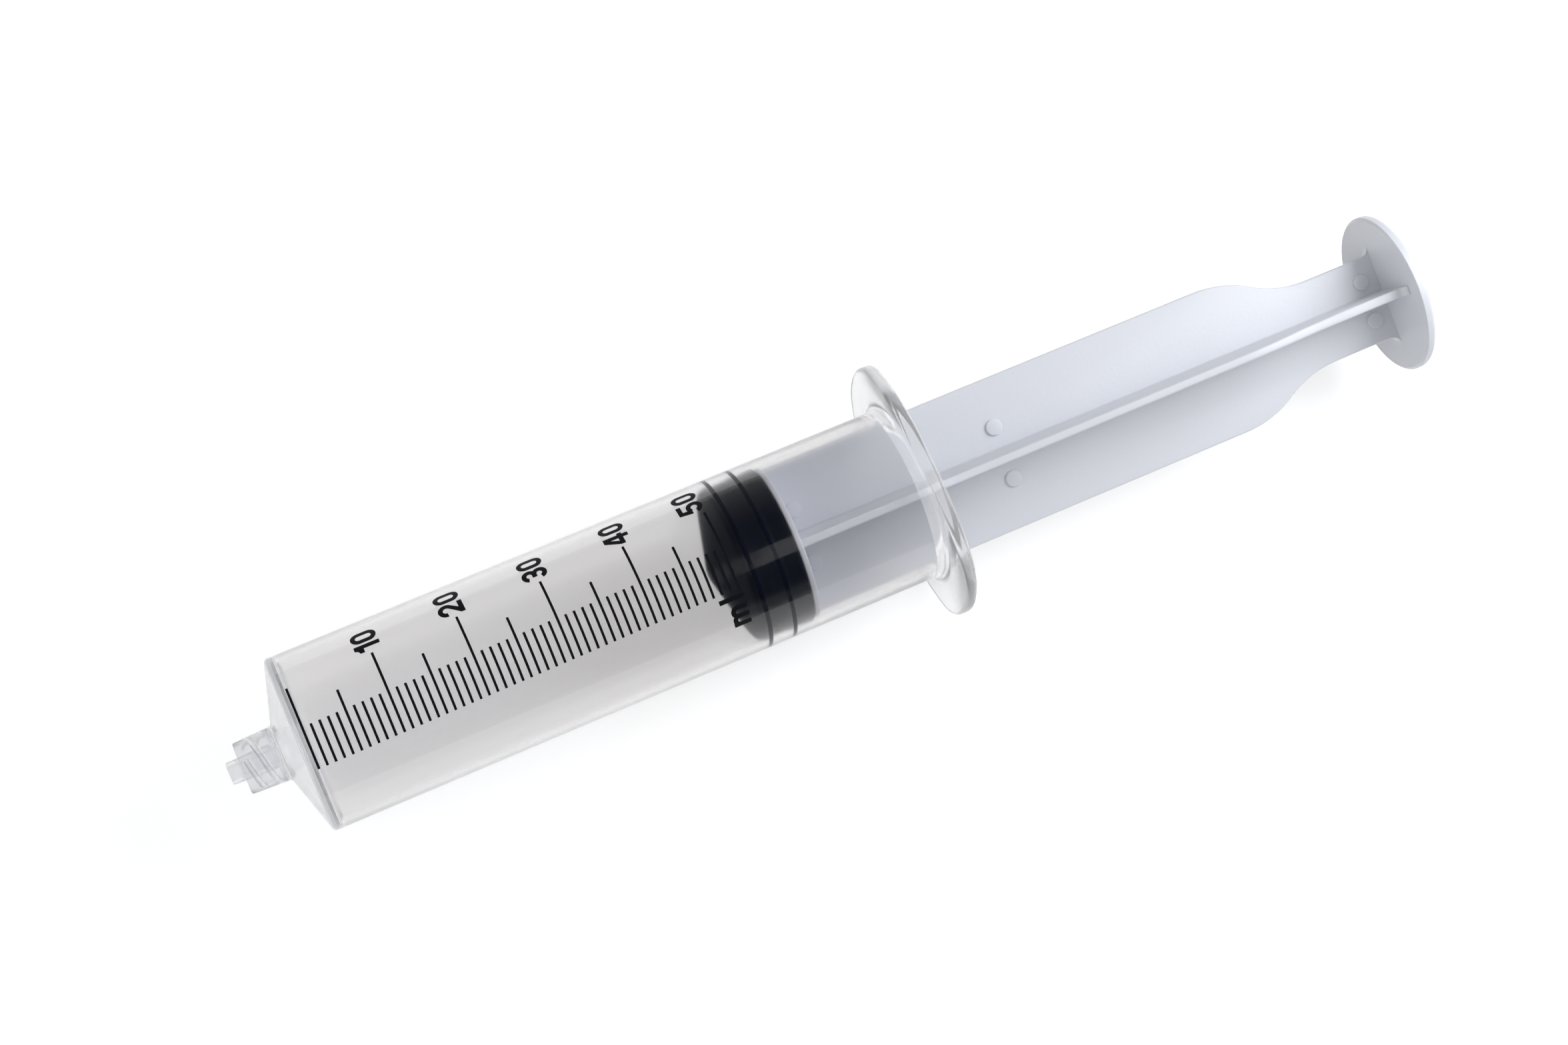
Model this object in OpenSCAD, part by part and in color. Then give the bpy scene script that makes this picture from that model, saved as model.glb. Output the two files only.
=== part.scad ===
// Luer lock syringe of 50 ml, with its plunger drawn back just past the last graduation.
// It lies along X, with the end of its tip at the origin, its thumb rest at +X and the
// flange's short sides up and down. Lengths are in millimetres and angles in degrees.

/* [Barrel] */
// Inside diameter of the barrel
bore_d = 29; // [24:0.5:36]
// Wall of the barrel's tube
wall = 1.2; // [0.9:0.05:2]
// Length of the graduated scale, which holds the nominal volume in the bore
scale_len = 75.7; // [50:0.1:110]
// From the last graduation to the flange's back face
rear_len = 39; // [34:0.5:60]
// Thickness of the front wall, measured along the barrel
front_wall = 1.45; // [1:0.05:2.5]
// Lean of the front wall, degrees from square
front_lean = 16.5; // [8:0.5:24]
// First graduation, behind the front corner of the bore
zero_back = 0.25; // [0:0.05:1.5]
// Lead-in at the open end of the bore
mouth_lead = 0.4; // [0.1:0.05:0.8]
// Break on the front edge of the tube
front_break = 0.3; // [0.1:0.05:0.8]
// Depth of the front wall's hub behind the floor of the collar
hub_back = 0.35; // [0.1:0.05:0.6]

/* [Luer tip and lock] */
// Diameter of the tip's taper at its end
tip_d = 3.94; // [3.925:0.005:3.99]
// Growth of the taper's diameter along its length, as a share
taper_share = 0.06; // [0.05:0.005:0.07]
// Length of the tip, from its end to the floor of the collar
tip_len = 8.9; // [8.5:0.1:11]
// Fluid bore through the tip
fluid_d = 2.1; // [1.2:0.1:2.6]
// How far the tip stands out of the collar
tip_reach = 2.3; // [2.1:0.1:3]
// Break on the end of the tip
tip_break = 0.25; // [0.1:0.05:0.4]
// Wall of the collar at its mouth, outside the thread
collar_wall = 0.6; // [0.4:0.05:1]
// Growth of the collar's radius from its mouth to its root
collar_flare = 0.3; // [0:0.05:0.8]
// Root diameter of the collar's inside thread
thread_root_d = 8; // [7.8:0.1:8.4]
// Crest diameter of the thread
thread_crest_d = 7; // [6.9:0.1:7.4]
// Lead of the thread, with two starts
thread_lead = 5; // [4.5:0.1:5.5]
// Width of a thread ridge at its foot
thread_foot = 1.4; // [1:0.1:1.8]
// Width of a thread ridge at its crest
thread_land = 0.5; // [0.3:0.05:0.8]
// Thread's clear length at the mouth and at the floor of the collar
thread_run_out = 0.5; // [0.3:0.05:0.9]

/* [Flange] */
// Length across the two ears
flange_len = 47; // [42:0.5:56]
// Width across the short sides
flange_w = 37.5; // [34:0.5:41]
// Radius of each short side's shallow arc
flange_side_r = 33; // [24:0.5:44]
// Length of the flat in the middle of each short side, on which the syringe lies still
flange_flat = 8; // [4:0.5:14]
// Thickness of the flange
flange_t = 2.3; // [1.8:0.1:3.5]
// Fillet between the barrel and the flange
flange_fillet = 1.8; // [0.8:0.1:2.5]

/* [Printed scale] */
// Volume at the last graduation, in millilitres
scale_ml = 50; // [50]
// Length of a 1 ml line
short_line = 7.5; // [5:0.1:9]
// Length of a 5 ml line
mid_line = 11; // [9.5:0.1:13]
// Length of a 10 ml line
long_line = 15; // [13.5:0.1:17]
// Width of every line
line_w = 0.45; // [0.2:0.05:0.6]
// Where the lines end, degrees round from the top
line_start_angle = 33.4; // [0:0.1:60]
// How far round the print turns from its first to its last line, degrees
print_skew_angle = 3.4; // [0:0.1:6]
// Height of the numerals
cap_h = 4.5; // [3:0.05:5]
// Width of a round numeral
digit_w = 2.9; // [2.2:0.05:3.2]
// Stroke of the numerals
stroke = 0.85; // [0.5:0.05:0.9]
// Gap between a long line and its number
number_gap = 0.65; // [0.4:0.05:1.5]
// Gap between two numerals
digit_gap = 0.5; // [0.3:0.05:1]
// Shift of the last number towards the tip
last_number_shift = 1.5; // [0:0.1:2.2]
// Height of the small letter in the unit
letter_h = 3.1; // [2.4:0.05:3.6]
// Gap between the last line and the unit
unit_gap = 0.9; // [0.5:0.05:2]
// Thickness of the printing ink
ink_t = 0.05; // [0.03:0.01:0.12]

/* [Seal] */
// Length of the seal from its point to its back
seal_len = 13.5; // [12:0.1:17]
// Length of the seal's sloping front
seal_nose = 4; // [3:0.05:4.5]
// Seal's front edge, behind the last graduation
drawn_past = 2.6; // [0:0.1:12]
// Middle of the front rib, behind the seal's front edge
rib_back = 0.9; // [0.8:0.05:1.6]
// From the front rib to the rear rib
rib_step = 4.6; // [3.5:0.05:5.5]
// Width of a rib
rib_w = 1.5; // [1:0.05:2]
// Depth of the groove between the ribs
groove = 0.35; // [0.2:0.05:1]
// Running clearance of the ribs in the bore
rib_clear = 0.05; // [0.02:0.01:0.1]
// Gap between the seal and the front wall when the plunger is pressed home
home_clear = 0.4; // [0.3:0.05:1]
// Rubber in front of the plunger's head, and around it
seal_wall = 1.9; // [1.5:0.1:2.5]
// Diameter of the flat on the seal's point
nose_flat_d = 2.2; // [1:0.1:3]

/* [Plunger rod] */
// Clearance of the blades in the bore
blade_clear = 1; // [0.5:0.1:2]
// Thickness of the wide blade
blade_t = 1.8; // [1.4:0.1:2.6]
// Thickness of the cross blade at its root
fin_root_t = 2.2; // [1.6:0.1:3]
// Thickness of the cross blade at its edge
fin_edge_t = 1.4; // [1:0.1:2]
// Width of the neck below the thumb rest
neck_w = 15.7; // [12:0.1:20]
// Height of the cross blade in the neck
neck_h = 19.6; // [14:0.1:22]
// Length of the neck
neck_len = 13.1; // [8:0.1:18]
// Length of the curved shoulder between the neck and the blades
shoulder_len = 20.5; // [14:0.5:26]
// Thumb rest's diameter
thumb_d = 29.6; // [24:0.1:34]
// Thumb rest's thickness
thumb_t = 2.4; // [1.6:0.1:4]
// Draft of the thumb rest's front, each half leaning back from the wide blade, degrees
thumb_draft = 2; // [0:0.5:3]
// Gap between the flange and the thumb rest when the plunger is pressed home
thumb_gap = 16; // [12:0.1:25]
// Fillets at the thumb rest
foot_fillet = 1.6; // [0.8:0.1:2.4]
// Disc behind the seal, thickness
head_disc_t = 1.1; // [0.8:0.1:2]
// Head disc's clearance in the bore
head_disc_clear = 0.5; // [0.3:0.1:1]
// Diameter of the neck that passes into the seal
head_neck_d = 12; // [8:0.5:14]
// Diameter of the head inside the seal
head_d = 19; // [16:0.5:21]
// Length of that neck inside the seal
head_neck_len = 3.4; // [2.5:0.1:4.5]
// Clearance between the head and the rubber around it
head_clear = 0.1; // [0.05:0.01:0.2]
// How far the rod is turned in the barrel, degrees
rod_turn = 20.5; // [0:0.5:45]
// Diameter of the pin pads on the wide blade
pad_d = 3; // [2:0.1:4]
// Height of the pin pads
pad_rise = 0.4; // [0.05:0.05:0.6]
// From one pin pad to the other, across the wide blade
pad_gap = 9.8; // [8:0.1:12]
// From one pin pad to the other, across the neck
neck_pad_gap = 7.4; // [6:0.1:9]

/* [Hidden] */
$fn = 96;

// Overrun of every cut past the face that it opens
over = 0.5;
// Ink lies this far off the barrel, so that the two curved faces don't share a surface
ink_lift = 0.01;
// Millilitres from one line to the next, from one medium line, and from one number
small_ml = 1;
mid_ml = 5;
big_ml = 10;

bore_r = bore_d / 2;
tube_r = bore_r + wall;
tip_r = tip_d / 2;
tip_root_r = tip_r + tip_len * taper_share / 2;
root_r = thread_root_d / 2;
crest_r = thread_crest_d / 2;
collar_r = root_r + collar_wall;
hub_r = collar_r + collar_flare;

// Stations along the syringe, from the end of the tip
fluid_r = fluid_d / 2;
hub_z = tip_len + hub_back;
front_drop = (tube_r - front_break - hub_r) * tan(front_lean);
front_z = hub_z + front_drop;
bore_z = front_z + front_wall;
zero_z = bore_z + zero_back;
last_z = zero_z + scale_len;
back_z = last_z + rear_len;
flange_z = back_z - flange_t;
bore_rise = (bore_r - fluid_r) * tan(front_lean);
ml_step = scale_len / scale_ml;

// Seal and plunger at rest, and the travel that brings the seal home
seal_edge_z = last_z + drawn_past;
seal_tip_z = seal_edge_z - seal_nose;
seal_back_z = seal_tip_z + seal_len;
travel = seal_edge_z - bore_z - home_clear;
thumb_z = back_z + thumb_gap + travel;
thumb_back_z = thumb_z + thumb_t;
thumb_r = thumb_d / 2;
// The blades end this deep in the thumb rest, behind its sloping front
thumb_sunk_z = thumb_z + thumb_t / 2;
rib_r = bore_r - rib_clear;
land_r = rib_r - rib_clear;
groove_r = rib_r - groove;
head_face_z = seal_back_z + head_clear;
blade_z = head_face_z + head_disc_t;
blade_half = bore_r - blade_clear;
neck_half = neck_w / 2;
neck_half_h = neck_h / 2;
neck_z = thumb_z - neck_len;
shoulder_z = neck_z - shoulder_len;
head_r = head_d / 2;
head_neck_r = head_neck_d / 2;

// Width of the figure one, and how far below its top the flag hangs, as shares
one_w_share = 0.6;
flag_share = 0.17;

// Places of the pin pads, as shares of the blades' and the neck's length
pad_front_share = 0.038;
pad_mid_share = 0.49;
pad_back_share = 0.26;

// Turns a solid built along its own Z, with X up, onto the syringe's axis
module lie() {
    rotate([0, 90, 0])
        rotate([0, 0, 180])
            children();
}

// Points of an arc round a centre, counted from a0 to a1 in even steps
function arc(centre, r, a0, a1, steps) = [
    for (i = [0 : steps])
        let (a = a0 + (a1 - a0) * i / steps)
            centre + r * [cos(a), sin(a)]
];

// Section of the tube, front wall, hub, collar and tip, as radius and station
module barrel_section() {
    fillet_c = [tube_r + flange_fillet, flange_z - flange_fillet];
    polygon(concat(
        [[fluid_r, 0],
         [tip_r - tip_break, 0],
         [tip_r, tip_break],
         [tip_root_r, tip_len],
         [root_r, tip_len],
         [root_r, tip_reach],
         [collar_r, tip_reach],
         [hub_r, hub_z],
         [tube_r - front_break, front_z],
         [tube_r, front_z + front_break]],
        arc(fillet_c, flange_fillet, 180, 90, 6),
        [[tube_r + flange_fillet, back_z - flange_t / 2],
         [tube_r, back_z],
         [bore_r + mouth_lead, back_z],
         [bore_r, back_z - mouth_lead],
         [bore_r, bore_z],
         [fluid_r, bore_z - bore_rise]]));
}

// Two ears of one circle, trimmed on each short side by a shallow arc with a flat in its middle
module flange_outline() {
    side_c = sqrt(pow(flange_side_r, 2) - pow(flange_flat / 2, 2)) - flange_w / 2;
    intersection() {
        circle(d = flange_len);
        translate([-side_c, 0])
            circle(r = flange_side_r);
        translate([side_c, 0])
            circle(r = flange_side_r);
        square([flange_w, flange_len], center = true);
    }
}

module flange() {
    translate([0, 0, flange_z])
        linear_extrude(flange_t)
            difference() {
                flange_outline();
                circle(r = tube_r);
            }
}

// One helical ridge inside the collar, swept from four corners per step
module thread_ridge(start) {
    steps = 32;
    foot_r = root_r + collar_wall / 4;
    z0 = tip_reach + thread_run_out + thread_foot / 2;
    z1 = tip_len - thread_run_out - thread_foot / 2;
    turn = 360 * (z1 - z0) / thread_lead;
    corners = [[foot_r, -thread_foot / 2], [crest_r, -thread_land / 2],
               [crest_r, thread_land / 2], [foot_r, thread_foot / 2]];
    points = [
        for (i = [0 : steps], c = corners)
            let (a = start + turn * i / steps)
                [c.x * cos(a), c.x * sin(a), z0 + (z1 - z0) * i / steps + c.y]
    ];
    sides = [
        for (i = [0 : steps - 1], k = [0 : 3])
            let (j = (k + 1) % 4)
                [4 * i + k, 4 * i + j, 4 * i + 4 + j, 4 * i + 4 + k]
    ];
    triangles = [for (q = sides) each [[q[0], q[1], q[2]], [q[0], q[2], q[3]]]];
    caps = [[0, 2, 1], [0, 3, 2],
            [4 * steps, 4 * steps + 1, 4 * steps + 2], [4 * steps, 4 * steps + 2, 4 * steps + 3]];
    polyhedron(points, concat(triangles, caps));
}

module barrel() {
    color([0.84, 0.87, 0.9, 0.5])
        lie() {
            rotate_extrude()
                barrel_section();
            flange();
            thread_ridge(0);
            thread_ridge(180);
        }
}

// Rubber outside: sloping nose, front rib at its edge, rear rib and the land rising behind it
module seal_section() {
    rib_1 = seal_edge_z + rib_back;
    rib_2 = rib_1 + rib_step;
    nose_round = rib_w / 3;
    polygon([
        [0, seal_tip_z],
        [nose_flat_d / 2, seal_tip_z],
        [land_r - nose_round, seal_edge_z - nose_round * 0.6],
        [land_r, seal_edge_z],
        [land_r, rib_1 - rib_w / 2],
        [rib_r, rib_1 - rib_w / 4],
        [rib_r, rib_1 + rib_w / 4],
        [groove_r, rib_1 + rib_w / 2],
        [groove_r, rib_2 - rib_w / 2],
        [rib_r, rib_2 - rib_w / 4],
        [rib_r, rib_2 + rib_w / 4],
        [groove_r, rib_2 + rib_w / 2],
        [land_r, rib_2 + rib_w * 1.5],
        [land_r, seal_back_z - nose_round],
        [land_r - nose_round, seal_back_z],
        [0, seal_back_z]
    ]);
}

// Head, neck and disc of the rod, grown by a clearance where the seal is cut from it
module head_section(grow) {
    head_back = seal_back_z - head_neck_len;
    head_front = seal_edge_z + seal_wall;
    point_z = seal_tip_z + seal_wall * 2;
    polygon([
        [0, point_z - grow],
        [nose_flat_d / 2, point_z - grow],
        [head_r + grow, head_front - grow],
        [head_r + grow, head_back + grow],
        [head_neck_r + grow, head_back + grow],
        [head_neck_r + grow, head_face_z + (grow > 0 ? over : 0)],
        [0, head_face_z + (grow > 0 ? over : 0)]
    ]);
}

module plunger_seal() {
    color([0.13, 0.15, 0.2])
        lie()
            rotate_extrude()
                difference() {
                    seal_section();
                    head_section(head_clear);
                }
}

// Half of a blade's outline: station along X, half width along Y, neck curved in by two arcs
module blade_half_outline(neck) {
    drop = blade_half - neck;
    lean = 2 * atan(drop / shoulder_len);
    bend_r = shoulder_len / (2 * sin(lean));
    mid_z = shoulder_z + shoulder_len / 2;
    translate([blade_z, 0])
        square([shoulder_z - blade_z, blade_half]);
    intersection() {
        translate([shoulder_z, 0])
            square([mid_z - shoulder_z, blade_half]);
        translate([shoulder_z, blade_half - bend_r])
            circle(r = bend_r, $fn = 180);
    }
    difference() {
        translate([mid_z, 0])
            square([neck_z - mid_z, blade_half]);
        translate([neck_z, neck + bend_r])
            circle(r = bend_r, $fn = 180);
    }
    translate([neck_z, 0])
        square([thumb_sunk_z - neck_z, neck]);
    difference() {
        translate([thumb_z - foot_fillet, 0])
            square([thumb_sunk_z - thumb_z + foot_fillet, neck + foot_fillet]);
        translate([thumb_z - foot_fillet, neck + foot_fillet])
            circle(r = foot_fillet, $fn = 48);
    }
}

module blade_outline(neck) {
    blade_half_outline(neck);
    mirror([0, 1])
        blade_half_outline(neck);
}

// Wide blade, flat across the syringe, with the mould's round pin pads proud of its upper face
module wide_blade() {
    run = shoulder_z - blade_z;
    pads = [[blade_z + run * pad_front_share, pad_gap],
            [blade_z + run * pad_mid_share, pad_gap],
            [thumb_z - neck_len * pad_back_share, neck_pad_gap]];
    translate([0, 0, -blade_t / 2])
        linear_extrude(blade_t)
            blade_outline(neck_half);
    for (pad = pads, side = [-1, 1])
        translate([pad.x, side * pad.y / 2, 0])
            cylinder(d = pad_d, h = blade_t / 2 + pad_rise, $fn = 48);
}

// Cross blade, thinner at its edges than at its root
module cross_blade() {
    intersection() {
        rotate([90, 0, 0])
            translate([0, 0, -fin_root_t])
                linear_extrude(2 * fin_root_t)
                    blade_outline(neck_half_h);
        translate([blade_z, 0, 0])
            rotate([90, 0, 90])
                linear_extrude(thumb_sunk_z - blade_z)
                    polygon([[-fin_root_t / 2, 0], [-fin_edge_t / 2, blade_half], [fin_edge_t / 2, blade_half],
                             [fin_root_t / 2, 0], [fin_edge_t / 2, -blade_half], [-fin_edge_t / 2, -blade_half]]);
    }
}

// Section of the thumb rest: a thick disc with its edges broken
module thumb_section() {
    edge = thumb_t / 4;
    polygon([
        [0, thumb_z],
        [thumb_r - edge, thumb_z],
        [thumb_r, thumb_z + edge],
        [thumb_r, thumb_back_z - edge],
        [thumb_r - edge, thumb_back_z],
        [0, thumb_back_z]
    ]);
}

// Disc whose front is a low ridge along the wide blade
module thumb_rest() {
    half = thumb_r + over;
    edge_z = thumb_z + half * tan(thumb_draft);
    intersection() {
        lie()
            rotate_extrude()
                thumb_section();
        rotate([90, 0, 0])
            translate([0, 0, -half])
                linear_extrude(2 * half)
                    polygon([[thumb_z, 0], [edge_z, half], [thumb_back_z + over, half],
                             [thumb_back_z + over, -half], [edge_z, -half]]);
    }
}

module plunger_rod() {
    color([0.9, 0.91, 0.95])
        rotate([rod_turn, 0, 0]) {
            wide_blade();
            cross_blade();
            thumb_rest();
            lie() {
                rotate_extrude()
                    head_section(0);
                translate([0, 0, head_face_z])
                    cylinder(r = bore_r - head_disc_clear, h = head_disc_t);
            }
        }
}

// How far round the print stands at a volume, degrees from the top
function print_angle(ml) = line_start_angle - print_skew_angle * ml / scale_ml;
function arc_angle(len) = len / tube_r * 180 / PI;

// Graduation line: a thin band of ink, round from the common edge of the scale
module line(ml, len) {
    lie()
        translate([0, 0, zero_z + ml * ml_step - line_w / 2])
            rotate([0, 0, print_angle(ml) - arc_angle(len)])
                rotate_extrude(angle = arc_angle(len))
                    translate([tube_r + ink_lift, 0])
                        square([ink_t, line_w]);
}

module ink_colour() {
    color([0.03, 0.03, 0.04])
        children();
}

module ml_lines() {
    ink_colour()
        for (ml = [small_ml : small_ml : scale_ml - small_ml])
            if (ml % mid_ml != 0)
                line(ml, short_line);
}

module five_ml_lines() {
    ink_colour()
        for (ml = [mid_ml : big_ml : scale_ml - mid_ml])
            line(ml, mid_line);
}

module ten_ml_lines() {
    ink_colour()
        for (ml = [0 : big_ml : scale_ml])
            line(ml, long_line);
}

// Sector of a ring, from a0 to a1
module ring_arc(r, w, a0, a1) {
    intersection() {
        difference() {
            circle(r = r, $fn = 64);
            circle(r = r - w, $fn = 64);
        }
        polygon(concat([[0, 0]], arc([0, 0], 2 * r, a0, a1, 12)));
    }
}

module stadium(w, h) {
    translate([w / 2, w / 2])
        circle(d = w, $fn = 64);
    translate([w / 2, h - w / 2])
        circle(d = w, $fn = 64);
    translate([0, w / 2])
        square([w, h - w]);
}

module digit_0() {
    difference() {
        stadium(digit_w, cap_h);
        translate([stroke, stroke])
            stadium(digit_w - 2 * stroke, cap_h - 2 * stroke);
    }
}

module digit_1() {
    w = digit_w * one_w_share;
    flag_y = cap_h * (1 - flag_share);
    translate([w - stroke, 0])
        square([stroke, cap_h]);
    difference() {
        translate([0, flag_y - stroke])
            square([w - stroke / 2, cap_h - flag_y + stroke]);
        translate([0, cap_h])
            circle(r = cap_h - flag_y, $fn = 48);
    }
}

// The diagonal starts inside the ring's end, a hair in from its two edges
module digit_2() {
    r = digit_w / 2;
    c = [r, cap_h - r];
    foot = stroke * 0.9;
    lap = stroke * 0.03;
    end = [cos(-36), sin(-36)];
    translate(c)
        ring_arc(r, stroke, -40, 185);
    polygon([c + (r - stroke + lap) * end,
             c + (r - lap) * end,
             [stroke * 1.5, foot],
             [stroke, 0],
             [0, 0],
             [0, foot]]);
    square([digit_w, stroke]);
}

module digit_3() {
    r = (cap_h + stroke) / 4;
    translate([r, r])
        ring_arc(r, stroke, -165, 90);
    translate([r, cap_h - r])
        ring_arc(r, stroke, -90, 165);
    translate([r - stroke * 0.7, (cap_h - stroke) / 2])
        square([stroke * 0.7, stroke]);
}

module digit_4() {
    stem_x = digit_w * 0.55;
    bar_y = cap_h * 0.22;
    top = cap_h * 0.75;
    difference() {
        polygon([[0, bar_y], [0, bar_y + stroke], [stem_x - stroke * 0.4, cap_h],
                 [stem_x + stroke, cap_h], [stem_x + stroke, bar_y]]);
        polygon([[stroke, bar_y + stroke], [stem_x, bar_y + stroke], [stem_x, top]]);
    }
    translate([stem_x, 0])
        square([stroke, cap_h]);
    translate([0, bar_y])
        square([digit_w, stroke]);
}

module digit_5() {
    r = digit_w / 2;
    stem_y = cap_h * 0.45;
    translate([stroke * 0.4, cap_h - stroke])
        square([digit_w - stroke * 0.6, stroke]);
    polygon([[stroke * 0.4, cap_h], [stroke * 1.3, cap_h], [stroke * 1.1, stem_y], [0, stem_y]]);
    translate([r, r])
        ring_arc(r, stroke, -165, 140);
}

module letter_m() {
    outer = (digit_w - stroke / 2) / 2;
    inner = outer - stroke;
    square([stroke, letter_h]);
    for (i = [0, 1])
        translate([stroke + inner + i * (2 * inner + stroke), letter_h - outer]) {
            ring_arc(outer, stroke, -5, 180);
            translate([inner, outer - letter_h])
                square([stroke, letter_h - outer]);
        }
}

module letter_l() {
    square([stroke, cap_h]);
}

// Skin of ink round the barrel, that a flat figure is cut from
module ink_skin() {
    difference() {
        cylinder(r = tube_r + ink_lift + ink_t, h = back_z);
        translate([0, 0, -over])
            cylinder(r = tube_r + ink_lift, h = back_z + 2 * over);
    }
}

// Prints a flat figure at a station, with its left edge a way round from the line's end
// and its foot towards the thumb rest
module printed(ml, z, start, w) {
    middle = print_angle(ml) - arc_angle(start + w / 2);
    lie()
        intersection() {
            ink_skin();
            translate([0, 0, z])
                rotate([0, 0, middle])
                    rotate([0, 90, 0])
                        rotate([0, 0, -90])
                            linear_extrude(tube_r + wall)
                                translate([-w / 2, 0])
                                    children();
        }
}

// One number beside its long line, centred on it along the barrel
module number(ml, w, shift) {
    z = zero_z + ml * ml_step + cap_h / 2 - stroke / 3 - shift;
    start = long_line + number_gap;
    ink_colour() {
        printed(ml, z, start, w)
            children(0);
        printed(ml, z, start + w + digit_gap, digit_w)
            digit_0();
    }
}

module numeral_10() {
    number(10, digit_w * one_w_share, 0)
        digit_1();
}

module numeral_20() {
    number(20, digit_w, 0)
        digit_2();
}

module numeral_30() {
    number(30, (cap_h + stroke) / 2, 0)
        digit_3();
}

module numeral_40() {
    number(40, digit_w, 0)
        digit_4();
}

module numeral_50() {
    number(50, digit_w, last_number_shift)
        digit_5();
}

module unit_ml() {
    m_w = 2 * digit_w - 2 * stroke;
    z = last_z + line_w;
    ink_colour() {
        printed(scale_ml, z, -unit_gap - stroke, stroke)
            letter_l();
        printed(scale_ml, z, -unit_gap - stroke - 2 * digit_gap - m_w, m_w)
            letter_m();
    }
}

barrel();
plunger_seal();
plunger_rod();
ml_lines();
five_ml_lines();
ten_ml_lines();
numeral_10();
numeral_20();
numeral_30();
numeral_40();
numeral_50();
unit_ml();
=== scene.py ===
"""Luer lock syringe of 50 ml on a pale table, plunger drawn back past the end of the scale."""
import bmesh
import bpy
import math
from mathutils import Euler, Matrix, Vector


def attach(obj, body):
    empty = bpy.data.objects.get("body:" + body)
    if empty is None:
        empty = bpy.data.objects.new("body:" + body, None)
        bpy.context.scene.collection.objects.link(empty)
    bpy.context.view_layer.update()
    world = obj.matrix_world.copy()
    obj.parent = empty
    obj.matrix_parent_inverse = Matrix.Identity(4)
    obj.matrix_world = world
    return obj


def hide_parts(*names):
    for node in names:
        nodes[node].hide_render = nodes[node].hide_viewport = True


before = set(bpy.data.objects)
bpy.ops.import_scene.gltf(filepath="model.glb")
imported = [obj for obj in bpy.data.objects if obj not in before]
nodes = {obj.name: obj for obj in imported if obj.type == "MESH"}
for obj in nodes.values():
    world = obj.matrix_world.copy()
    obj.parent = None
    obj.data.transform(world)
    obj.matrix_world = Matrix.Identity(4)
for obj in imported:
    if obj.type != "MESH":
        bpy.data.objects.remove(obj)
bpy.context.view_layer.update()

MM = 0.001
WELD = 0.002 * MM       # points nearer than this become one
SMOOTH_ANGLE = 35       # degrees: faces that meet flatter than this are shaded as one surface
SHARP_ANGLE = 40        # degrees: edges of the rod that turn more than this are rounded


# Camera
def add_camera():
    """A long lens above the barrel's front end, at the photograph's angle."""
    data = bpy.data.cameras.new("view")
    data.lens = 64.44
    data.sensor_width = 36
    data.clip_end = 20
    camera = bpy.data.objects.new("view", data)
    camera.location = (0.013991, -0.128962, 0.465021)
    camera.rotation_euler = Euler([math.radians(a) for a in (18.744, -3.335, -24.537)])
    bpy.context.collection.objects.link(camera)
    bpy.context.scene.camera = camera


# Materials
def colour(code):
    """sRGB hex to the linear values that a shader takes."""
    parts = [int(code[i:i + 2], 16) / 255 for i in (1, 3, 5)]
    return [part / 12.92 if part <= 0.04045 else ((part + 0.055) / 1.055) ** 2.4
            for part in parts] + [1]


def node(tree, kind, inputs=(), **properties):
    """Adds one node and sets its properties. Inputs go by name or in order, and each is given as a
    value or as the socket that it is linked to."""
    made = tree.nodes.new(kind)
    for name, value in properties.items():
        setattr(made, name, value)
    for name, source in inputs.items() if isinstance(inputs, dict) else enumerate(inputs):
        if isinstance(source, bpy.types.NodeSocket):
            tree.links.new(source, made.inputs[name])
        else:
            made.inputs[name].default_value = source
    return made


def material(name):
    """A new material with an empty node tree."""
    made = bpy.data.materials.new(name)
    made.use_nodes = True
    made.node_tree.nodes.clear()
    return made, made.node_tree


def clear_polypropylene(name, tint, clearness, roughness, index=1.49):
    """Clarified polypropylene, injection moulded: clear where it is thin and milky where it is
    thick, a little uneven from the flow in the mould, with a soft surface gloss. In the thick parts
    haze hides most of the refraction, so a lower index than the plastic's 1.49 gives the eye the
    same pale look."""
    made, tree = material(name)
    position = node(tree, "ShaderNodeTexCoord").outputs["Object"]
    # flow marks about 17 mm long
    flow = node(tree, "ShaderNodeTexNoise", {"Vector": position, "Scale": 60.0, "Detail": 3.0})
    bump = node(tree, "ShaderNodeBump", {
        "Height": flow.outputs[0], "Strength": 0.05, "Distance": 0.0002})
    plastic = node(tree, "ShaderNodeBsdfPrincipled", {
        "Base Color": colour(tint), "Transmission Weight": clearness, "Roughness": roughness,
        "IOR": index, "Normal": bump.outputs[0]})
    clear = node(tree, "ShaderNodeBsdfTransparent", {"Color": colour("#EDEEF0")})
    rays = node(tree, "ShaderNodeLightPath")
    mix = node(tree, "ShaderNodeMixShader", (
        rays.outputs["Is Shadow Ray"], plastic.outputs[0], clear.outputs[0]))
    node(tree, "ShaderNodeOutputMaterial", {"Surface": mix.outputs[0]})
    return made


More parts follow.
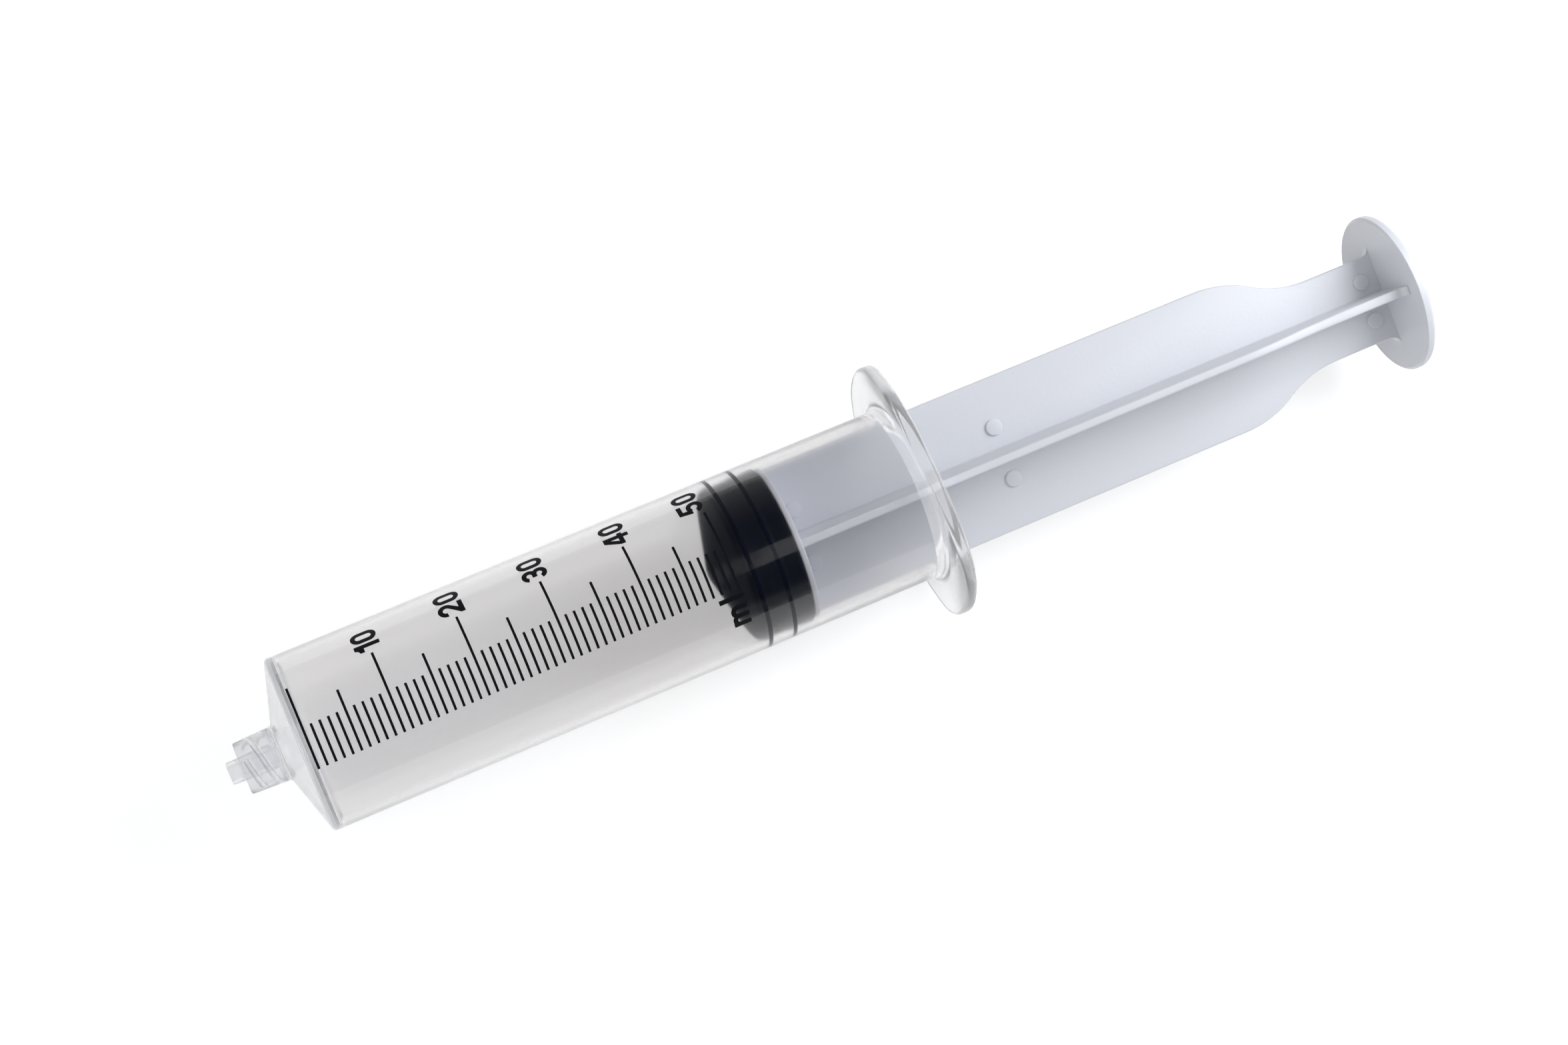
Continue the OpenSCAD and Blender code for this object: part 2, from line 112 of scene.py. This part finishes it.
def seal_rubber():
    """Synthetic rubber, compression moulded and oiled: near black with a blue cast and a broad soft
    sheen."""
    made, tree = material("seal_rubber")
    position = node(tree, "ShaderNodeTexCoord").outputs["Object"]
    # moulded grain, drawn about 1 mm coarse so that it shows
    grain = node(tree, "ShaderNodeTexNoise", {"Vector": position, "Scale": 900.0, "Detail": 4.0})
    tone = node(tree, "ShaderNodeValToRGB", {"Fac": grain.outputs[0]})
    for stop, code in zip(tone.color_ramp.elements, ("#060B18", "#0B1222")):
        stop.color = colour(code)
    bump = node(tree, "ShaderNodeBump", {
        "Height": grain.outputs[0], "Strength": 0.1, "Distance": 0.0001})
    rubber = node(tree, "ShaderNodeBsdfPrincipled", {
        "Base Color": tone.outputs[0], "Roughness": 0.5, "Specular IOR Level": 0.03,
        "Normal": bump.outputs[0]})
    node(tree, "ShaderNodeOutputMaterial", {"Surface": rubber.outputs[0]})
    return made


def rod_polypropylene():
    """Natural polypropylene, injection moulded: pale with a cool cast and satin."""
    made, tree = material("rod_polypropylene")
    position = node(tree, "ShaderNodeTexCoord").outputs["Object"]
    # flow marks about 29 mm long, and a satin grain drawn 0.8 mm coarse so that it shows
    flow = node(tree, "ShaderNodeTexNoise", {"Vector": position, "Scale": 35.0, "Detail": 3.0})
    grain = node(tree, "ShaderNodeTexNoise", {"Vector": position, "Scale": 1300.0, "Detail": 2.0})
    tone = node(tree, "ShaderNodeValToRGB", {"Fac": flow.outputs[0]})
    for stop, code in zip(tone.color_ramp.elements, ("#D8DBE1", "#E1E3E8")):
        stop.color = colour(code)
    bump = node(tree, "ShaderNodeBump", {
        "Height": grain.outputs[0], "Strength": 0.2, "Distance": 0.0001})
    plastic = node(tree, "ShaderNodeBsdfPrincipled", {
        "Base Color": tone.outputs[0], "Roughness": 0.38, "IOR": 1.49, "Normal": bump.outputs[0]})
    node(tree, "ShaderNodeOutputMaterial", {"Surface": plastic.outputs[0]})
    return made


def print_ink():
    """Black pad-printing ink, cured: flat and even, a touch lighter where it is thin."""
    made, tree = material("print_ink")
    position = node(tree, "ShaderNodeTexCoord").outputs["Object"]
    # specks of pigment, drawn 0.4 mm coarse so that they show
    speck = node(tree, "ShaderNodeTexNoise", {"Vector": position, "Scale": 2500.0, "Detail": 3.0})
    tone = node(tree, "ShaderNodeValToRGB", {"Fac": speck.outputs[0]})
    for stop, code in zip(tone.color_ramp.elements, ("#07080B", "#121318")):
        stop.color = colour(code)
    ink = node(tree, "ShaderNodeBsdfPrincipled", {
        "Base Color": tone.outputs[0], "Roughness": 0.5, "Specular IOR Level": 0.1})
    node(tree, "ShaderNodeOutputMaterial", {"Surface": ink.outputs[0]})
    return made


def eye_rays(tree, rays):
    """1 for what the eye sees straight, mirrored or through clear plastic, 0 for what lights a matt
    surface."""
    seen = rays.outputs["Is Camera Ray"]
    for kind in ("Is Glossy Ray", "Is Transmission Ray"):
        seen = node(tree, "ShaderNodeMath", (seen, rays.outputs[kind]),
                    operation="MAXIMUM").outputs[0]
    return node(tree, "ShaderNodeMath", (seen, rays.outputs["Diffuse Depth"]),
                operation="SUBTRACT", use_clamp=True).outputs[0]


def table_top():
    """Matt white laminate, bright enough to read as plain white and to keep a faint shadow."""
    made, tree = material("table_top")
    lit = node(tree, "ShaderNodeBsdfDiffuse", {"Color": colour("#D3D3D3")})
    seen = eye_rays(tree, node(tree, "ShaderNodeLightPath"))
    power = node(tree, "ShaderNodeMapRange", (seen, 0, 1, 0, 0.6))
    glow = node(tree, "ShaderNodeEmission", {"Strength": power.outputs[0]})
    add = node(tree, "ShaderNodeAddShader", (lit.outputs[0], glow.outputs[0]))
    node(tree, "ShaderNodeOutputMaterial", {"Surface": add.outputs[0]})
    return made


# Table and light
def add_table():
    """A floor under the flange's short side and the barrel's front, on which the syringe lies."""
    front, back = Vector((0.0132, 0, -0.0157)), Vector((0.12716, 0, -0.01875))
    slope = math.atan2(front.z - back.z, back.x - front.x)
    deselect()
    bpy.ops.mesh.primitive_plane_add(size=6, rotation=(0, slope, 0), location=(front + back) / 2)
    floor = bpy.context.active_object
    floor.name = "table"
    floor.data.materials.append(table_top())
    bpy.ops.object.transform_apply(location=True, rotation=True, scale=True)


def add_lamp(name, size, place, target, power, tint="#FFFFFF", size_y=None):
    """An area lamp aimed at a point, square unless it has a second size, unseen by the camera."""
    data = bpy.data.lights.new(name, "AREA")
    data.size = size
    if size_y:
        data.shape = "RECTANGLE"
        data.size_y = size_y
    data.energy = power
    data.color = colour(tint)[:3]
    lamp = bpy.data.objects.new(name, data)
    lamp.location = place
    lamp.rotation_euler = (Vector(target) - Vector(place)).to_track_quat("-Z", "Y").to_euler()
    lamp.visible_camera = False
    bpy.context.collection.objects.link(lamp)


def add_light():
    """A white room, which gloss shows dark overhead and bright at both ends, with soft boxes above
    the rod, beyond its end and beyond the tip."""
    # Brightness of the room as gloss shows it, overhead and at its ends, and as matt surfaces get it
    overhead, room_end, on_matt = 0.016, 0.7, 0.4
    world = bpy.data.worlds.new("studio")
    world.use_nodes = True
    tree = world.node_tree
    tree.nodes.clear()
    rays = node(tree, "ShaderNodeLightPath")
    direction = node(tree, "ShaderNodeTexCoord").outputs["Generated"]
    along, across, height = node(tree, "ShaderNodeSeparateXYZ", {"Vector": direction}).outputs
    # A Map Range takes a value, the two places that it runs between, and what it gives at each
    near_wall = node(tree, "ShaderNodeMapRange", (height, 0.25, 0.32, 0.2, overhead)).outputs[0]
    far_wall = node(tree, "ShaderNodeMapRange", (height, 0.1, 0.9, 0.28, overhead)).outputs[0]
    room = node(tree, "ShaderNodeMapRange", (across, -0.2, 0.3, near_wall, far_wall)).outputs[0]
    room = node(tree, "ShaderNodeMapRange", (along, 0.27, 0.37, room, room_end)).outputs[0]
    room = node(tree, "ShaderNodeMapRange", (along, -0.17, -0.07, room_end, room)).outputs[0]
    mirrored = rays.outputs["Glossy Depth"]
    seen = node(tree, "ShaderNodeMapRange", (mirrored, 0, 1, 1, room)).outputs[0]
    power = node(tree, "ShaderNodeMapRange", (eye_rays(tree, rays), 0, 1, on_matt, seen))
    sky = node(tree, "ShaderNodeBackground", {
        "Color": colour("#FFFFFF"), "Strength": power.outputs[0]})
    node(tree, "ShaderNodeOutputWorld", {"Surface": sky.outputs[0]})
    bpy.context.scene.world = world
    add_lamp("soft_box", 0.5, (0.405, -0.36, 0.95), (0.405, -0.36, 0), 0.35, size_y=0.38)
    add_lamp("end_box", 0.2, (0.385, -0.015, 0.21), (0.19, 0, 0), 0.76, "#F8FAFF")
    add_lamp("tip_box", 0.5, (-0.5, -0.1, 0.12), (0.1, 0, 0), 1.6)


# Mesh tools
def deselect():
    bpy.ops.object.select_all(action="DESELECT")


def shade(piece, angle):
    """Shades smooth except over edges that turn more than the angle, in degrees."""
    deselect()
    piece.select_set(True)
    bpy.context.view_layer.objects.active = piece
    bpy.ops.object.shade_smooth_by_angle(angle=math.radians(angle))


def finish_mesh(piece, angle=SMOOTH_ANGLE):
    """Closes the seams, points the faces outwards and shades."""
    bpy.ops.mesh.select_all(action="SELECT")
    bpy.ops.mesh.remove_doubles(threshold=WELD)
    bpy.ops.mesh.normals_make_consistent(inside=False)
    bpy.ops.object.mode_set(mode="OBJECT")
    shade(piece, angle)


def start_ring(name, x, r, sides, capped=False):
    """Adds a circle round the syringe's axis and leaves it selected in edit mode. Here and in the
    sections below, x is the distance behind the tip's end and r the radius, in millimetres."""
    deselect()
    bpy.ops.mesh.primitive_circle_add(
        vertices=sides, radius=r * MM, location=(x * MM, 0, 0), rotation=(0, math.pi / 2, 0),
        fill_type="NGON" if capped else "NOTHING")
    piece = bpy.context.active_object
    piece.name = piece.data.name = name
    bpy.ops.object.transform_apply(location=True, rotation=True, scale=True)
    bpy.ops.object.mode_set(mode="EDIT")
    bpy.ops.mesh.select_all(action="SELECT")
    return piece


def pull_ring(piece, x, r, outline=None):
    """Extrudes the selected ring to a new x and r. With an outline, r is how far outside it the
    ring lies."""
    bpy.ops.mesh.extrude_edges_move()
    mesh = bmesh.from_edit_mesh(piece.data)
    for point in mesh.verts:
        if point.select:
            angle = math.atan2(point.co.y, point.co.z)
            reach = (outline(angle) + r if outline else r) * MM
            point.co = (x * MM, reach * math.sin(angle), reach * math.cos(angle))
    bmesh.update_edit_mesh(piece.data)


def round_corner(x, r, size, start, end, steps=4):
    """Points of a rounded corner in the section: from one direction to another, in degrees, round a
    centre."""
    points = []
    for i in range(steps + 1):
        angle = math.radians(start + (end - start) * i / steps)
        points.append((x + size * math.cos(angle), r + size * math.sin(angle)))
    return points


def round_edges(piece, size, wanted):
    """Rounds those sharp edges of a piece in edit mode that pass the test wanted, which is given an
    edge's two ends in millimetres."""
    mesh = bmesh.from_edit_mesh(piece.data)
    for edge in mesh.edges:
        ends = [[value / MM for value in end.co] for end in edge.verts]
        sharp = edge.is_manifold and edge.calc_face_angle() > math.radians(SHARP_ANGLE)
        edge.select_set(sharp and wanted(ends))
    bmesh.update_edit_mesh(piece.data)
    bpy.ops.mesh.bevel(offset=size * MM, segments=3, clamp_overlap=False)


# Barrel
def ear_reach(angle):
    """Radius of the flange's edge: two ears of one circle, and a shallow arc with a flat on each
    short side. The angle is measured from the upper short side."""
    ears, side_r, flat, half, softness = 23.5, 33, 4, 18.75, 3
    centre = math.sqrt(side_r ** 2 - flat ** 2) - half
    up, out = abs(math.cos(angle)), math.sin(angle)
    side = math.sqrt(side_r ** 2 - (centre * out) ** 2) - centre * up
    if up > 0.5:        # half / up is the line of the flat, which lies near a short side's middle
        side = min(side, half / up)
    return ears - math.log(1 + math.exp(softness * (ears - side))) / softness


def make_thread_ridge(start):
    """One of the collar's two inside thread ridges: a four-sided section swept along a right-handed
    screw, with its foot sunk in the collar's wall."""
    crest_r, foot_r, crest_half, foot_half = 3.5, 4.15, 0.25, 0.7
    first_x, advance, lead = 3.5, 4.2, 5
    deselect()
    bpy.ops.mesh.primitive_plane_add(size=MM, rotation=(math.pi / 2, 0, 0))
    ridge = bpy.context.active_object
    bpy.ops.object.transform_apply(location=True, rotation=True, scale=True)
    bpy.ops.object.mode_set(mode="EDIT")
    bpy.ops.mesh.delete(type="ONLY_FACE")
    section = bmesh.from_edit_mesh(ridge.data)
    for corner in section.verts:
        half, r = (foot_half, foot_r) if corner.co.z > 0 else (crest_half, crest_r)
        corner.co = (MM * (first_x + math.copysign(half, corner.co.x)), 0, MM * r)
    bmesh.update_edit_mesh(ridge.data)
    bpy.ops.mesh.select_all(action="SELECT")
    bpy.ops.transform.rotate(
        value=-math.radians(start), orient_axis="X", center_override=(0, 0, 0))
    bpy.ops.object.mode_set(mode="OBJECT")
    screw = ridge.modifiers.new("sweep", "SCREW")
    screw.axis, screw.screw_offset = "X", advance * MM
    screw.angle = math.radians(360 * advance / lead)
    screw.steps = screw.render_steps = 48
    bpy.ops.object.modifier_apply(modifier="sweep")
    bpy.ops.object.mode_set(mode="EDIT")
    bpy.ops.mesh.select_all(action="SELECT")
    bpy.ops.mesh.fill_holes(sides=4)
    bpy.ops.mesh.normals_make_consistent(inside=False)
    bpy.ops.object.mode_set(mode="OBJECT")
    return ridge


def make_barrel():
    """One clear moulding: tip, lock collar, leaning front wall, tube and flange, turned from one
    ring."""
    tip = [(0, 1.15), (0, 1.74), (0.06, 1.9), (0.25, 1.975), (8.6, 2.228), (8.82, 2.31), (8.9, 2.5)]
    collar = [(8.9, 3.72), (8.82, 3.92), (8.62, 4), (2.55, 4), (2.38, 4.05), (2.3, 4.2),
              (2.3, 4.42), (2.37, 4.55), (2.55, 4.611), (8.95, 4.886), (9.18, 4.97), (9.3, 5.1)]
    front_wall = [(9.42, 5.4), (12.28, 15.1), (12.4, 15.4), (12.6, 15.6), (12.85, 15.68),
                  (13.2, 15.7)]
    flange_fillet = round_corner(124.66, 17.5, 1.8, -90, 0, 6)
    flange_rim = round_corner(127.16, -0.7, 0.7, 180, 90) + round_corner(128.06, -0.7, 0.7, 90, 0)
    mouth = [(128.76, 15.4), (128.72, 15.15), (128.58, 14.98), (128.3, 14.8), (128, 14.6),
             (127.6, 14.51), (127.2, 14.5)]
    bore_end = [(14.2, 14.5), (13.98, 14.46), (13.82, 14.36), (13.7, 14.1)]
    fluid_bore = [(9.98, 1.55), (9.87, 1.25), (9.7, 1.1), (9.4, 1.05), (0.1, 1.05)]
    piece = start_ring("barrel_shell", 0.1, 1.05, sides=192)
    for x, r in tip + collar + front_wall + flange_fillet:
        pull_ring(piece, x, r)
    for x, r in flange_rim:
        pull_ring(piece, x, r, ear_reach)
    for x, r in mouth + bore_end + fluid_bore:
        pull_ring(piece, x, r)
    finish_mesh(piece)
    for start in (0, 180):
        ridge = make_thread_ridge(start)
        union = piece.modifiers.new("thread", "BOOLEAN")
        union.operation, union.solver, union.object = "UNION", "EXACT", ridge
        bpy.context.view_layer.objects.active = piece
        bpy.ops.object.modifier_apply(modifier="thread")
        bpy.data.objects.remove(ridge)
    shade(piece, SMOOTH_ANGLE)
    return piece


def dress_zones(barrel):
    """Adds the looks of the bore, the thick ends and the front shoulder to the barrel's plastic."""
    clear, bore, hazy, milky = range(4)
    for zone in (("bore_polypropylene", "#EFEEEE", 1.0, 0.13),
                 ("hazy_polypropylene", "#FDFDFE", 0.8, 0.14, 1.3),
                 ("milky_polypropylene", "#F6F8FC", 0.3, 0.12)):
        barrel.data.materials.append(clear_polypropylene(*zone))
    shoulder_start, tube_start, tube_end, middle_of_wall = 12.5, 14.1, 124.6, 15
    for face in barrel.data.polygons:
        x, r = face.center.x / MM, math.hypot(face.center.y, face.center.z) / MM
        if tube_start < x < tube_end:
            face.material_index = clear if r > middle_of_wall else bore
        elif shoulder_start < x < tube_end and r > middle_of_wall:
            face.material_index = milky
        else:
            face.material_index = hazy


# Seal and rod
def make_seal():
    """Rubber seal: sloping nose, a rib at its edge and a second one behind it, hollow round the
    rod's head. The ribs reach a hair into the barrel's wall, because real rubber is pressed flat
    against it."""
    nose = [(88.38, 1.4), (88.48, 1.75), (91.9, 13.6), (92.06, 13.92), (92.28, 14.1), (92.5, 14.16)]
    front_rib = [(92.66, 14.26), (92.78, 14.43), (92.9, 14.52), (93.25, 14.535), (93.6, 14.52),
                 (93.72, 14.43), (93.86, 14.25), (94.06, 14.13)]
    band = [(94.4, 14.1), (96.4, 14.1), (96.8, 14.18), (97.2, 14.3), (97.4, 14.4)]
    back_rib = [(97.52, 14.52), (97.86, 14.535), (98.2, 14.52), (98.32, 14.43), (98.46, 14.25),
                (98.66, 14.13)]
    skirt = [(99, 14.13), (100.3, 14.37), (101.2, 14.4), (101.55, 14.32), (101.78, 14.1),
             (101.86, 13.8)]
    hollow = [(101.86, 6.4), (101.7, 6.1), (98.56, 6.1), (98.56, 9.4), (98.3, 9.6), (94.3, 9.6),
              (94, 9.3), (92.1, 1.4), (92.06, 1.1)]
    piece = start_ring("seal_moulding", 88.36, 1.1, sides=160, capped=True)
    for x, r in nose + front_rib + band + back_rib + skirt + hollow:
        pull_ring(piece, x, r)
    bpy.ops.mesh.edge_face_add()
    finish_mesh(piece)
    return piece


def on_pad(x, y, z, lowest=0.85):
    """Whether a point lies on one of the round pads that the mould's pins left on the blade."""
    turned, highest, reach = math.radians(20.5), 1.4, 1.6
    places = ((106.34, 4.9), (145.32, 4.9), (219.5, 3.7))
    across = y * math.cos(turned) + z * math.sin(turned)
    up = z * math.cos(turned) - y * math.sin(turned)
    nearest = min(math.hypot(x - pad_x, abs(across) - pad_y) for pad_x, pad_y in places)
    return lowest < up < highest and nearest < reach


def on_front_rim(x, y, z):
    """Whether a point lies on the rim of the thumb rest's front."""
    rim_start, rim_end, rim_r = 222, 224, 14.1
    return rim_start < x < rim_end and math.hypot(y, z) > rim_r


def at_foot(x, y, z):
    """Whether a point lies where the blades meet the thumb rest or the disc behind the seal."""
    disc_end, fillet_start, within_rims = 103.2, 221.4, 13.9
    return (x > fillet_start or x < disc_end) and math.hypot(y, z) < within_rims


def make_rod():
    """Copy of the rod's solid with its edges rounded and its inner corners filleted, as a mould
    leaves them. The mould's pin pads get smaller rims, and the thumb rest's front keeps the solid's
    broken edge, which its draft makes too narrow to round."""
    rounding, pad_rounding, pad_top, cut_x = 0.3, 0.15, 1.2, 104
    piece = nodes["plunger_rod"].copy()
    piece.data = piece.data.copy()
    piece.name = piece.data.name = "rod_moulding"
    bpy.context.collection.objects.link(piece)
    deselect()
    piece.select_set(True)
    bpy.context.view_layer.objects.active = piece
    bpy.ops.mesh.customdata_custom_splitnormals_clear()
    bpy.ops.object.mode_set(mode="EDIT")
    bpy.ops.mesh.select_all(action="SELECT")
    bpy.ops.mesh.remove_doubles(threshold=WELD)
    bpy.ops.mesh.dissolve_limited(angle_limit=math.radians(0.5))
    # The cut across the blades lets their edges stay crisp from there to the disc, and no further.
    bpy.ops.mesh.select_all(action="SELECT")
    bpy.ops.mesh.bisect(plane_co=(cut_x * MM, 0, 0), plane_no=(1, 0, 0))
    bmesh.from_edit_mesh(piece.data).select_mode = {"EDGE"}

    def to_round(ends):
        return not (all(on_pad(*end) for end in ends) or all(on_front_rim(*end) for end in ends)
                    or any(at_foot(*end) for end in ends))

    def on_pad_top(ends):
        return all(on_pad(*end, lowest=pad_top) for end in ends)

    round_edges(piece, rounding, to_round)
    round_edges(piece, pad_rounding, on_pad_top)
    finish_mesh(piece, angle=30)
    return piece


# Build
def dress(piece, finish):
    """Gives a piece one material all over."""
    piece.data.materials.clear()
    piece.data.materials.append(finish)


def place(piece, body, node_name, slot, finish):
    """Puts a finished piece in its CAD node's place."""
    dress(piece, finish)
    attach(piece, body)
    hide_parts(node_name)


add_camera()
add_table()
add_light()
ink = print_ink()
barrel = make_barrel()
clear_plastic = clear_polypropylene("clear_polypropylene", "#EFEEEE", 1.0, 0.05)
place(barrel, "barrel", "barrel", "clear_plastic", clear_plastic)
dress_zones(barrel)
place(make_seal(), "seal", "plunger_seal", "seal_rubber", seal_rubber())
place(make_rod(), "rod", "plunger_rod", "rod_plastic", rod_polypropylene())
for name in nodes:
    if name not in ("barrel", "plunger_seal", "plunger_rod"):
        dress(nodes[name], ink)

bpy.context.scene.view_settings.view_transform = "Standard"
